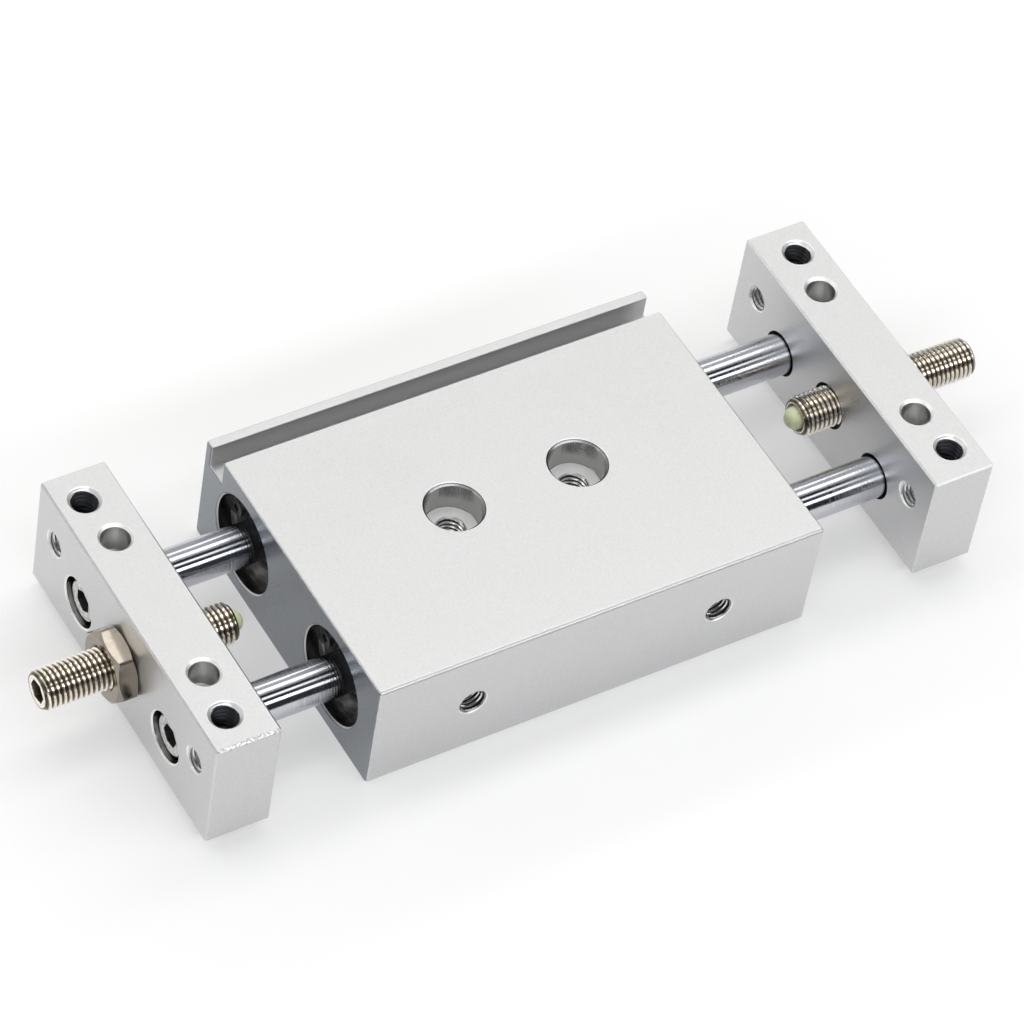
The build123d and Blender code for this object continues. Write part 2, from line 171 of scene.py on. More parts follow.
# %% The finish class
class Finish:
    """A material with one Principled shader."""

    def __init__(self, name, colour, metallic, roughness, **uniform):
        self.material = bpy.data.materials.new(name)
        self.material.use_nodes = True
        self.nodes = self.material.node_tree.nodes
        self.links = self.material.node_tree.links
        self.shader = self.nodes["Principled BSDF"]
        self.shader.inputs["Base Color"].default_value = (*colour, 1)
        self.shader.inputs["Metallic"].default_value = metallic
        self.shader.inputs["Roughness"].default_value = roughness
        for socket, value in uniform.items():
            self.shader.inputs[socket.replace("_", " ")].default_value = value
        coordinates = self.node("ShaderNodeTexCoord", {}, output="Object")
        self.place = self.node("ShaderNodeVectorMath", {"operation": "SCALE"}, coordinates, Scale=1 / MM)
        self.x = self.node("ShaderNodeSeparateXYZ", {}, self.place, output="X")
        parts = self.x.socket.node
        self.y = Wire(self, parts.outputs["Y"])
        self.z = Wire(self, parts.outputs["Z"])

    def node(self, kind, settings, *values, output=0, **named):
        """Add a node: its settings first, then what goes into its sockets."""
        made = self.nodes.new(kind)
        for setting, value in settings.items():
            setattr(made, setting, value)
        for key, value in [*enumerate(values), *named.items()]:
            socket = made.inputs[key]
            if isinstance(value, Wire):
                self.links.new(value.socket, socket)
            else:
                socket.default_value = value
        return Wire(self, made.outputs[output])

    def noise(self, size, detail=2.0, stretch=(1, 1, 1)):
        """Cloudy noise about 0 to 1, with lumps of that size in millimetres."""
        place = self.node("ShaderNodeVectorMath", {"operation": "MULTIPLY"}, self.place, stretch)
        return self.node(
            "ShaderNodeTexNoise", {}, Vector=place, Scale=1 / size, Detail=detail, output="Fac"
        )

    def mixed(self, share, first, second):
        """Colour that goes from first to second as share goes from 0 to 1."""
        made = self.node("ShaderNodeMix", {"data_type": "RGBA"}, share).socket.node
        for socket, colour in zip((made.inputs[6], made.inputs[7]), (first, second)):
            if isinstance(colour, Wire):
                self.links.new(colour.socket, socket)
            else:
                socket.default_value = (*colour, 1)
        return Wire(self, made.outputs[2])

    def feed(self, socket, wire):
        """Let a wire drive one socket of the shader."""
        self.links.new(wire.socket, self.shader.inputs[socket])

    def bump(self, height):
        """Raise the surface by height, which is in millimetres."""
        made = self.node("ShaderNodeBump", {}, Height=height, Distance=MM, Strength=1.0)
        self.feed("Normal", made)

    def distance_to_line(self, along, first, second):
        """Distance from a line along X, Y or Z, given by its other two coordinates."""
        across = {"X": (self.y, self.z), "Y": (self.x, self.z), "Z": (self.x, self.y)}[along]
        a = across[0] - first
        b = across[1] - second
        return (a * a + b * b).root()


print("finish class ready")

# %% [markdown]
# ## Blasted and anodised aluminium
#
# The housing and both plates were shot with fine beads and then anodised clear. Seen close, that is a
# dense field of tiny dents, which scatters the light and makes the metal look nearly white from above. The
# corners have lost a little of it and shine, and that shine is partly painted in as a lighter colour along
# the corner lines. The holes were cut afterwards, so their walls are smoother, with fine rings left by the
# tool, while their chamfers catch the light and the floors of the counterbores are frosted. The shade in
# the holes is painted: their walls, lips, mouths and gaps get darker tones. The milled ends of the housing
# and the inside of its groove are painted darker too, as shade. Whether a point lies on such a wall is
# told by its distance from the hole's middle line, so no picture has to be painted.

# %% Masks for edges and holes
mask_slope = 0.04


def distance_to_corner(finish, low, high):
    """Distance from the nearest corner line of a box, for a point on its surface."""
    gaps = []
    for wire, a, b in zip((finish.x, finish.y, finish.z), low, high):
        gaps.append((wire - a).smaller(b - wire))
    largest = gaps[0].larger(gaps[1]).larger(gaps[2])
    smallest = gaps[0].smaller(gaps[1]).smaller(gaps[2])
    return gaps[0] + gaps[1] + gaps[2] - largest - smallest


def union(masks):
    """Largest of several masks."""
    result = masks[0]
    for mask in masks[1:]:
        result = result.larger(mask)
    return result


def between(wire, start, end):
    """1 from start to end, and 0 beyond, with a narrow slope at both."""
    return wire.step(start - mask_slope, start) * (1 - wire.step(end, end + mask_slope))


def around(finish, direction, first, second, inner, outer, start, end):
    """1 from one radius to another round a line, from start to end along it."""
    along = {"X": finish.x, "Y": finish.y, "Z": finish.z}[direction]
    away = finish.distance_to_line(direction, first, second)
    return between(away, inner, outer) * between(along, start, end)


print("masks ready")

# %% Tone and roughness of each kind of cut, where the dark tones are painted shade
BRIGHT = (0.95, 0.45)
FROSTED = (0.97, 0.6)
# Painted shade: the tones from here to the gap, all but the reamed one, darken walls, lips, mouths and
# gaps of holes.
BORED_WALL_SHADE = (0.43, 0.22)
PALE_LIP_SHADE = (0.32, 0.3)
LIP_SHADE = (0.08, 0.3)
BORE_MOUTH_SHADE = (0.1, 0.24)
PORT_MOUTH_SHADE = (0.3, 0.3)
REAMED = (0.62, 0.3)
SCREW_WALL_SHADE = (0.3, 0.22)
GAP_SHADOW = (0.012, 0.5)
print("cuts go from a tone of", GAP_SHADOW[0], "to", FROSTED[0])

# %% The aluminium finish
worn_and_highlight_width = 0.32
tool_feed = 0.45


def blasted_aluminium(name, low, high, cuts, milled_shaded_ends=False, shaded_trench=None, burr=None):
    """Bead-blasted aluminium for one block.

    cuts holds (tone, roughness, mask arguments) of each wall, chamfer or gap; its dark tones are painted
    shade. The fifth argument says that the block was sawn off a bar and milled at both ends, whose faces
    are also painted darker as shade. The sixth gives the sides, floor and top of a groove along X, whose
    inside is painted darker as shade, and burr is a rough edge along X.
    """
    finish = Finish(name, (0.66, 0.665, 0.67), 1.0, 0.4)
    dents = finish.noise(0.34, detail=3.0)
    clouds = finish.noise(24.0, detail=2.0)
    speckle = finish.noise(0.3, detail=1.0)

    to_corner = distance_to_corner(finish, low, high)
    chips = finish.noise(1.3, detail=4.0).step(0.42, 0.66)
    # Lighter along the corner lines: partly wear through the anodising, partly a painted highlight on the
    # edges.
    worn = (1 - to_corner / worn_and_highlight_width).larger(0.0).smaller(1.0) * (0.35 + 0.65 * chips)
    tone = 0.975 + 0.03 * (clouds - 0.5) + 0.22 * (speckle - 0.5)
    colour = finish.mixed(tone, (0.0, 0.0, 0.0), (0.675, 0.675, 0.68))
    rough = 0.37 + 0.06 * dents + 0.03 * clouds
    height = 0.011 * dents + 0.004 * speckle
    if milled_shaded_ends:
        end = 1 - between(finish.x, low.x + 0.15, high.x - 0.15)
        # Painted shade: both end faces get a much darker colour; the lower roughness below is from the
        # milling.
        colour = finish.mixed(end, colour, (0.25, 0.265, 0.285))
        rough = rough - 0.15 * end
    if shaded_trench:
        near, far, floor, top = shaded_trench
        inside = between(finish.y, near, far) * between(finish.z, floor, top)
        inside = inside * between(finish.x, low.x + 0.2, high.x - 0.2)
        # Painted shade: the inside of the groove is given a darker colour.
        colour = finish.mixed(inside, colour, (0.3, 0.295, 0.285))
    # Mix in the lighter corner colour, which is wear and painted edge highlight together.
    colour = finish.mixed(worn * 0.7, colour, (0.88, 0.88, 0.89))
    rough = rough - 0.12 * worn

    kinds = {}
    for level, smooth, *line in cuts:
        kinds.setdefault((level, smooth), []).append(around(finish, *line))
    rings = ((finish.x + finish.z) * (math.tau / tool_feed)).sine()
    for (level, smooth), masks in kinds.items():
        mask = union(masks)
        colour = finish.mixed(mask, colour, (level, level, 0.99 * level))
        rough = rough * (1 - mask) + smooth * mask
        height = height * (1 - 0.8 * mask) + (0.004 * rings) * mask
        if (level, smooth) == FROSTED:
            finish.feed("Metallic", 1 - mask)
    if burr:
        ragged = finish.noise(0.5, detail=4.0)
        from_edge = finish.distance_to_line("X", *burr)
        rag_mask = 1 - (from_edge + 1.3 * (ragged - 0.5)).step(0.32, 0.5)
        torn = finish.mixed(ragged.step(0.4, 0.6), (0.45, 0.45, 0.45), (0.9, 0.9, 0.9))
        colour = finish.mixed(rag_mask, colour, torn)
        height = height + 0.08 * rag_mask * (ragged - 0.5)
    finish.feed("Base Color", colour)
    finish.feed("Roughness", rough)
    finish.bump(height)
    return finish


print("aluminium finish ready")

# %% Where the holes are
middle_x = {side: (plate_box[side][0].x + plate_box[side][1].x) / 2 for side in SIDES}
bore_y = rod_place["far"].y
body_hole_x = 12.8
body_thread = 3.0
counterbore = 5.3
counterbore_depth = 6.2
port_x = 25.5
port_thread = 2.5
plate_tap_y = 26.3
plate_tap_offset = 1.05
plate_thread = 3.0
locating_hole = 2.75
end_tap_y = 26.4
end_tap_z = (plate_box["left"][0].z + plate_box["left"][1].z) / 2 + 2.9
end_thread = 2.5
rod_radius = 4.0
bore_mouth = 9.3
screw_mouth = 4.9
stop_z = (bolt_box["left"][0].z + bolt_box["left"][1].z) / 2

top_skin = (housing_high.z - 0.5, housing_high.z + 1)
near_skin = (housing_low.y - 1, housing_low.y + 0.5)
housing_cuts = []
for sign in (-1, 1):
    hole = ("Z", sign * body_hole_x, 0.0)
    bore = ("X", sign * bore_y, rod_height)
    port = ("Y", sign * port_x, rod_height)
    housing_cuts += [
        (*BORED_WALL_SHADE, *hole, counterbore - 0.08, counterbore + 0.06, 0.4, housing_high.z - 0.4),
        (*FROSTED, *hole, body_thread - 0.1, counterbore - 0.12, 0.5, housing_high.z - 0.5),
        # The counterbore lip is painted in bands: two dark lines of painted shade and, at its edge, a thin
        # line of painted highlight.
        (*PALE_LIP_SHADE, *hole, counterbore + 0.06, counterbore + 0.3, *top_skin),
        (*LIP_SHADE, *hole, counterbore + 0.3, counterbore + 0.38, *top_skin),
        (*BRIGHT, *hole, counterbore + 0.42, counterbore + 0.52, *top_skin),
        (*BORE_MOUTH_SHADE, *bore, bore_mouth, bore_mouth + 0.24, housing_low.x + 0.4, housing_high.x - 0.4),
        (*PORT_MOUTH_SHADE, *port, port_thread - 0.1, port_thread + 0.2, *near_skin),
        (*BRIGHT, *port, port_thread + 0.2, port_thread + 0.42, *near_skin),
    ]
groove = (25.5, 29.75, 19.75, housing_high.z - 0.1)
aluminium = {
    "housing": blasted_aluminium("blasted_housing", housing_low, housing_high, housing_cuts, True, groove)
}
print("cuts in the housing:", len(housing_cuts))

# %% [markdown]
# The plates have more holes, and each kind looks different. The tapped holes in their tops are dark with
# a bright countersink, and the dark of their thread is painted shade. The locating holes beside them are
# reamed smooth. Where the rods enter, a thin black ring of painted shade stands for the gap, and so it
# does round the stop bolts; round the heads of the rod screws the wall is painted dark, as shade.

# %% Finish both plates
for side in SIDES:
    low, high = plate_box[side]
    inner_x, outer_x = (high.x, low.x) if side == "left" else (low.x, high.x)
    out = OUTWARDS[side]
    inner_skin = sorted((inner_x - out, inner_x + 0.6 * out))
    outer_skin = sorted((outer_x + out, outer_x - 0.28 * out))
    outer_wall = sorted((outer_x - 0.3 * out, outer_x - 5.8 * out))
    # Painted shade: a black ring round the stop bolt and round each rod where it enters, and a dark wall
    # round the screw heads.
    cuts = [(*GAP_SHADOW, "X", 0.0, stop_z, rod_radius, 4.6, low.x - 1, high.x + 1)]
    for sign in (-1, 1):
        tap = ("Z", middle_x[side] + out * plate_tap_offset, sign * plate_tap_y)
        locating = ("Z", middle_x[side], sign * bore_y)
        end_tap = ("X", sign * end_tap_y, end_tap_z)
        rod_line = ("X", sign * bore_y, rod_height)
        cuts += [
            (*BRIGHT, *tap, plate_thread - 0.1, plate_thread + 0.22, high.z - 0.25, high.z + 1),
            (*REAMED, *locating, locating_hole - 0.1, locating_hole + 0.02, low.z, high.z - 0.5),
            (*BRIGHT, *locating, locating_hole + 0.02, locating_hole + 0.52, high.z - 0.55, high.z + 1),
            (*BRIGHT, *end_tap, end_thread - 0.1, end_thread + 0.22, low.x - 1, high.x + 1),
            (*GAP_SHADOW, *rod_line, rod_radius - 0.1, 4.5, *inner_skin),
            (*SCREW_WALL_SHADE, *rod_line, screw_mouth - 0.2, screw_mouth + 0.03, *outer_wall),
            (*BRIGHT, *rod_line, screw_mouth - 0.02, screw_mouth + 0.3, *outer_skin),
        ]
    burr = (low.y + 0.2, high.z - 0.1) if side == "left" else None
    aluminium[side] = blasted_aluminium(f"blasted_plate_{side}", low, high, cuts, burr=burr)
print("aluminium finishes:", sorted(aluminium))

# %% [markdown]
# ## Chrome, nickel and steel
#
# The rods are ground and plated with hard chrome. They are mirrors, with only the faintest rings from the
# grinding wheel, so they need little more than a low roughness: the streaks come from the lamps. The stop
# bolts and their nuts wear bright nickel, which is warmer; the nuts' nickel is painted much darker, as
# shade. All carry small handling marks, which show as a change of roughness more than as a change of
# colour.
# The roots of the bolt threads are dark brown, and the inside of each socket is painted dark, as shade; a
# mask finds both places by their distance from the middle line of the screw.

# %% Rod chrome, stop nickel and screw steel
def bright_plate(name, colour, roughness, mark_size, mark, pit):
    """Bright plated metal with soft handling marks."""
    finish = Finish(name, colour, 1.0, roughness)
    marks = finish.noise(mark_size, detail=5.0)
    pits = finish.noise(0.35, detail=2.0)
    dull = tuple(0.9 * part for part in colour)
    finish.feed("Base Color", finish.mixed(marks.step(0.45, 0.8), colour, dull))
    finish.feed("Roughness", roughness + mark * marks.step(0.4, 0.75) + 0.03 * pits)
    finish.bump(pit * pits)
    return finish


def ground_chrome():
    """Hard chrome, ground round: reflections are smeared along the rod and stay sharp across it."""
    finish = Finish("rod_hard_chrome", (0.56, 0.57, 0.61), 1.0, 0.07)
    grind = finish.noise(0.07, detail=0.0, stretch=(1, 0, 0))
    film = finish.noise(7.0, detail=4.0, stretch=(0.3, 1, 1))
    finish.feed("Base Color", finish.mixed(film.step(0.35, 0.8), (0.57, 0.58, 0.62), (0.48, 0.5, 0.55)))
    finish.feed("Roughness", 0.06 + 0.05 * film)
    finish.bump(0.022 * grind)
    return finish


def threaded_nickel():
    """Bright nickel crests, dark brown roots, and painted shade in the socket and at the tip's seat."""
    finish = Finish("stop_bright_nickel", (0.8, 0.74, 0.65), 1.0, 0.2)
    marks = finish.noise(1.6, detail=5.0)
    pits = finish.noise(0.3, detail=2.0)
    depth = finish.distance_to_line("X", 0.0, stop_z)
    crest = (depth + 0.12 * (marks - 0.5)).step(3.42, 3.78)
    on_thread = depth.step(3.0, 3.1)
    bright = finish.mixed(pits.step(0.45, 0.75), (0.98, 0.93, 0.84), (0.72, 0.65, 0.55))
    inner_end = 1 - abs(finish.x).step(70.0, 71.0)
    behind_face = between(finish.x, bolt_box["left"][0].x + 0.1, bolt_box["right"][1].x - 0.1)
    # Painted shade: the key socket and the seat of the tip are painted dark; the thread roots are dark
    # brown.
    shaded_socket_or_seat = behind_face * (1 - depth.step(2.34 + 0.5 * inner_end, 2.38 + 0.5 * inner_end))
    dark_roots_and_socket_shade = (on_thread * (1 - crest)).larger(0.85 * shaded_socket_or_seat)
    finish.feed("Base Color", finish.mixed(dark_roots_and_socket_shade, bright, (0.11, 0.09, 0.065)))
    finish.feed("Roughness", 0.12 + 0.08 * marks + 0.12 * dark_roots_and_socket_shade)
    finish.bump(0.006 * pits)
    return finish


def screw_steel():
    """Zinc plated steel, with painted shade in the sockets of the screws."""
    finish = Finish("screw_zinc_steel", (0.6, 0.6, 0.59), 1.0, 0.28)
    marks = finish.noise(0.8, detail=5.0)
    pits = finish.noise(0.35, detail=2.0)
    across = abs(finish.y) - bore_y
    above = finish.z - rod_height
    behind_face = between(finish.x, screw_box["left"][0].x + 0.13, screw_box["right"][1].x - 0.13)
    # Painted shade: the inside of each key socket is painted dark.
    socket = behind_face * (1 - (across * across + above * above).root().step(2.32, 2.42))
    worn = finish.mixed(marks.step(0.35, 0.65), (0.74, 0.74, 0.73), (0.46, 0.46, 0.45))
    finish.feed("Base Color", finish.mixed(socket, worn, (0.15, 0.14, 0.135)))
    finish.feed("Roughness", 0.24 + 0.12 * marks + 0.14 * socket)
    finish.bump(0.006 * pits)
    return finish


chrome = ground_chrome()
thread_nickel = threaded_nickel()
# Painted shade: the nut's nickel is given a far darker colour than the bolts', to stand for the shade on
# its lower faces.
shaded_nut_nickel = bright_plate("nut_shaded_nickel", (0.31, 0.275, 0.23), 0.14, 1.2, 0.06, 0.003)
steel = screw_steel()
print("plated finishes:", chrome.material.name, thread_nickel.material.name, steel.material.name)

# %% [markdown]
# ## The pieces inside the bores
#
# The rod guides, retaining rings and seals are seen only at the mouths of the bores, and the pistons not
# at all, but the model may be opened or lit another way one day. Each gets a simple finish of its own:
# turned alloy, phosphated spring steel, rubber, and two kinds of filled resin.

# %% Small inner finishes
def turned(name, colour, roughness):
    """Turned metal, with fine rings along X."""
    finish = Finish(name, colour, 1.0, roughness)
    cloud = finish.noise(3.0, detail=3.0)
    darker = tuple(0.75 * part for part in colour)
    finish.feed("Base Color", finish.mixed(cloud, darker, colour))
    finish.feed("Roughness", roughness - 0.06 + 0.12 * cloud)
    finish.bump(0.0015 * (finish.x * (math.tau / 0.25)).sine())
    return finish


def moulded(name, colour, roughness, lump, height):
    """Rubber or resin, with a soft uneven skin."""
    finish = Finish(name, colour, 0.0, roughness)
    skin = finish.noise(lump, detail=4.0)
    lighter = tuple(min(1.0, 1.5 * part + 0.01) for part in colour)
    finish.feed("Base Color", finish.mixed(skin.step(0.3, 0.8), colour, lighter))
    finish.feed("Roughness", roughness - 0.08 + 0.16 * skin)
    finish.bump(height * skin)
    return finish


inner_finishes = {
    "rod_guide": turned("guide_bearing_alloy", (0.33, 0.33, 0.34), 0.34),
    "retaining_ring": turned("ring_phosphated_steel", (0.36, 0.35, 0.34), 0.26),
    "piston_clips": turned("clip_spring_steel", (0.3, 0.29, 0.28), 0.32),
    "piston_magnet": moulded("magnet_resin_bond", (0.05, 0.05, 0.052), 0.55, 0.6, 0.004),
    "piston_seal": moulded("seal_nitrile_piston", (0.018, 0.018, 0.02), 0.5, 0.8, 0.006),
    "wear_ring": moulded("wear_ring_resin", (0.2, 0.13, 0.08), 0.5, 0.7, 0.004),
    "guide_o_ring": moulded("seal_nitrile_ring", (0.016, 0.016, 0.018), 0.42, 0.8, 0.004),
    "rod_seal": moulded("seal_nitrile_rod", (0.02, 0.02, 0.022), 0.45, 0.8, 0.006),
    "piston": turned("piston_turned_alloy", (0.6, 0.6, 0.6), 0.3),
}
print("inner finishes:", len(inner_finishes))

# %% Give each solid its finish
def cover(node, finish):
    """Put one finish on a solid."""
    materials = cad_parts[node].data.materials
    materials.clear()
    materials.append(finish.material)


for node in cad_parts:
    for start, finish in inner_finishes.items():
        if node.startswith(start):
            cover(node, finish)
            break
cover("housing", aluminium["housing"])
for side in SIDES:
    cover(f"end_plate_{side}", aluminium[side])
for row in ROWS:
    cover(f"rod_{row}", chrome)
print("solids with a finish:", sum(1 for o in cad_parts.values() if o.data.materials))

# %% [markdown]
# ## The bench
#
# New shapes are made lying along X with their start at 0, as on a lathe. These helpers do what a lathe
# does: they turn an outline into a round body. They also close it with its faces outwards, carry it to its
# place, mark the edges that should stay crisp, and hand it to the body that it rides on.

# %% Lathe and placing helpers
def lathe(shape, outline, steps=96):
    """Spin an outline of (place along X, radius) points about X."""
    corners = [shape.verts.new((x, 0, radius)) for x, radius in outline]
    edges = [shape.edges.new(pair) for pair in zip(corners, corners[1:])]
    bmesh.ops.spin(
        shape, geom=corners + edges, cent=(0, 0, 0), axis=(1, 0, 0), angle=math.tau, steps=steps,
        use_merge=True,
    )


def turn_outwards(shape):
    """Weld the seams of one closed shape and turn all its faces outwards."""
    bmesh.ops.remove_doubles(shape, verts=shape.verts, dist=1e-4)
    bmesh.ops.recalc_face_normals(shape, faces=shape.faces)
    if shape.calc_volume(signed=True) < 0:
        bmesh.ops.reverse_faces(shape, faces=shape.faces)


def put(shape, name, body, finishes, place, replaces=(), crisp=35.0):
    """Shrink the shape to metres, move it to its place and make it a piece of the part."""
    for edge in shape.edges:
        edge.smooth = len(edge.link_faces) == 2 and edge.calc_face_angle() < math.radians(crisp)
    for face in shape.faces:
        face.smooth = True
    shape.transform(Matrix.Scale(MM, 4) @ place)
    mesh = bpy.data.meshes.new(name)
    shape.to_mesh(mesh)
    shape.free()
    for finish in finishes:
        mesh.materials.append(finish.material)
    piece = bpy.data.objects.new(name, mesh)
    bpy.context.scene.collection.objects.link(piece)
    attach(piece, body)
    if replaces:
        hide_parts(*replaces)
    print(name, len(mesh.polygons), "faces")
    return piece


def add_to(shape, made):
    """Move one closed shape into another."""
    turn_outwards(made)
    mesh = bpy.data.meshes.new("passing_shape")
    made.to_mesh(mesh)
    made.free()
    shape.from_mesh(mesh)
    bpy.data.meshes.remove(mesh)


def facing(side, x, y, z, turn=0.0):
    """Place for a shape that grows outwards on one side, turned by some degrees about its own axis."""
    half_turn = math.pi if OUTWARDS[side] < 0 else 0.0
    return (
        Matrix.Translation((x, y, z))
        @ Matrix.Rotation(half_turn, 4, "Z")
        @ Matrix.Rotation(math.radians(turn), 4, "X")
    )


# %% [markdown]
# ## Screw threads
#
# A thread is one small tooth outline, spun round the axis while it creeps forwards by one pitch. The spin
# operator does both at once: its `dvec` is the creep per step. Long spins are slow, so only one turn is
# spun, and the rest are copies of it, each moved on by a pitch. The outline is exactly one pitch long, so
# each copy starts where the last one ends, and merging the doubles welds them. The ends are ragged, so
# the thread is made too long and cut square with a plane. Before that, points that stand out past a cone
# are pushed back to it, which gives the chamfer that every real thread starts with.

# %% The thread helper
def thread(shape, pitch, root, crest, length, steps=48, cone=None):
    """Threaded surface about X from 0 to length. cone gives the radius wanted at a place along X."""
    height = crest - root
    tooth = [(0.0, 0.0), (0.06, 0.0), (0.13, 0.07), (0.4, 0.9), (0.44, 1.0)]
    tooth += [(0.56, 1.0), (0.6, 0.9), (0.87, 0.07), (0.94, 0.0), (1.0, 0.0)]
    turns = math.ceil(length / pitch) + 3
    corners = [shape.verts.new(((share - 2) * pitch, 0, root + height * rise)) for share, rise in tooth]
    edges = [shape.edges.new(pair) for pair in zip(corners, corners[1:])]
    bmesh.ops.spin(
        shape, geom=corners + edges, cent=(0, 0, 0), axis=(1, 0, 0), dvec=(pitch / steps, 0, 0),
        angle=math.tau, steps=steps,
    )
    one_turn = shape.verts[:] + shape.edges[:] + shape.faces[:]
    for turn in range(1, turns):
        copy = bmesh.ops.duplicate(shape, geom=one_turn)["geom"]
        points = [g for g in copy if isinstance(g, bmesh.types.BMVert)]
        bmesh.ops.translate(shape, vec=(turn * pitch, 0, 0), verts=points)
    bmesh.ops.remove_doubles(shape, verts=shape.verts, dist=1e-4)
    for point in shape.verts if cone else ():
        radius = math.hypot(point.co.y, point.co.z)
        wanted = cone(point.co.x, radius)
        point.co.y *= wanted / radius
        point.co.z *= wanted / radius
    for place, way in ((0.0, -1), (length, 1)):
        everything = shape.verts[:] + shape.edges[:] + shape.faces[:]
        bmesh.ops.bisect_plane(
            shape, geom=everything, dist=1e-5, plane_co=(place, 0, 0), plane_no=(way, 0, 0),
            clear_outer=True,
        )
    loose = [v for v in shape.verts if not v.link_faces]
    bmesh.ops.delete(shape, geom=loose, context="VERTS")


def rim(shape, x):
    """The open edges that lie in the plane across X at that place."""
    return [e for e in shape.edges if e.is_boundary and all(abs(v.co.x - x) < 1e-3 for v in e.verts)]


def ring_of(shape, x, radius_at, count=96):
    """Closed loop of edges across X. radius_at gives the radius at an angle."""
    across = Matrix.Rotation(math.pi / 2, 4, "Y")
    made = bmesh.ops.create_circle(shape, segments=count, radius=1.0, matrix=across)
    for point in made["verts"]:
        angle = math.atan2(point.co.z, point.co.y)
        radius = radius_at(angle)
        point.co = Vector((x, radius * math.cos(angle), radius * math.sin(angle)))
    return list({e for v in made["verts"] for e in v.link_edges})


def hexagon(width):
    """Radius of a hexagon at an angle, from its width across flats."""
    sixth = math.pi / 3
    return lambda angle: width / 2 / math.cos((angle % sixth) - sixth / 2)


def circle(radius):
    """Radius of a circle, which is the same at every angle."""
    return lambda angle: radius


def bridge(shape, first, second):
    """Join two loops of edges with a band of faces."""
    bmesh.ops.bridge_loops(shape, edges=first + second)


def grow(shape, edges, x, radius_at):
    """Extrude a loop of edges to a new place along X and a new radius. Returns the new loop."""
    made = bmesh.ops.extrude_edge_only(shape, edges=edges)["geom"]
    points = [g for g in made if isinstance(g, bmesh.types.BMVert)]
    for point in points:
        angle = math.atan2(point.co.z, point.co.y)
        radius = radius_at(angle)
        point.co = Vector((x, radius * math.cos(angle), radius * math.sin(angle)))
    new = set(points)
    return [g for g in made if isinstance(g, bmesh.types.BMEdge) and new.issuperset(g.verts)]


def close_with_point(shape, edges, tip):
    """Close a loop with a cone that ends in a point."""
    made = bmesh.ops.extrude_edge_only(shape, edges=edges)["geom"]
    points = [g for g in made if isinstance(g, bmesh.types.BMVert)]
    bmesh.ops.pointmerge(shape, verts=points, merge_co=tip)


print("thread helpers ready")

# %% [markdown]
# ## Stop bolts
#
# Each stop bolt is threaded from end to end, an 8 mm thread of 1 mm pitch. Its outer end has a hexagon
# socket for a key, and its inner end is bored for the soft tip. The thread helper makes the outside. The
# ends are built onto its open rims: a flat ring is bridged to each rim, and the rest is extruded from that
# ring, step by step. So the bolt is one closed shell.

# %% Make both stop bolts
stop_pitch = 1.0
stop_crest = 3.95
stop_root = 3.32
stop_chamfer = 0.7
socket_width = 4.0
socket_depth = 4.3
face_radius = 2.4
tip_bore = 2.24
tip_bore_depth = 5.9
tip_countersink = 0.42


def stop_bolt(side):
    """One threaded stop bolt, from its inner end at 0 to its outer end."""
    low, high = bolt_box[side]
    length = high.x - low.x
    shape = bmesh.new()

    def cone(x, radius):
        from_end = max(0.0, min(x, length - x))
        return min(radius, stop_crest - stop_chamfer + from_end * 0.9)

    thread(shape, stop_pitch, stop_root, stop_crest, length, cone=cone)
    mouth = ring_of(shape, length, circle(face_radius))
    bridge(shape, rim(shape, length), mouth)
    last = mouth
    for inset, depth in ((0.1, 0.02), (0.0, 0.2), (0.0, socket_depth)):
        last = grow(shape, last, length - depth, hexagon(socket_width + inset))
    close_with_point(shape, last, (length - socket_depth - 0.4, 0, 0))
    last = ring_of(shape, 0.0, circle(tip_bore + tip_countersink))
    bridge(shape, rim(shape, 0.0), last)
    for x in (tip_countersink, tip_bore_depth):
        last = grow(shape, last, x, circle(tip_bore))
    close_with_point(shape, last, (tip_bore_depth + 0.1, 0, 0))
    turn_outwards(shape)
    inner_x = high.x if OUTWARDS[side] < 0 else low.x
    place = facing(side, inner_x, 0.0, stop_z, turn=11.0)
    return put(
        shape, f"threaded_stop_bolt_{side}", f"{side}_stop_screw", [thread_nickel], place,
        [f"stop_bolt_{side}"],
    )


for side in SIDES:
    stop_bolt(side)

# %% [markdown]
# ## Lock nuts
#
# The corners of a hexagon nut are cut back by a cone, which leaves a round face and an arched edge on
# every flat. Nobody has to draw those arches: a ring of points is laid on the hexagon, and each point is
# lowered by how far it stands outside the round face. The arches follow from that by themselves.

# %% Make both lock nuts
nut_width = 13.0
nut_face = 6.15
nut_slope = math.tan(math.radians(30))
nut_clearance = 0.06
nut_countersink = 0.45


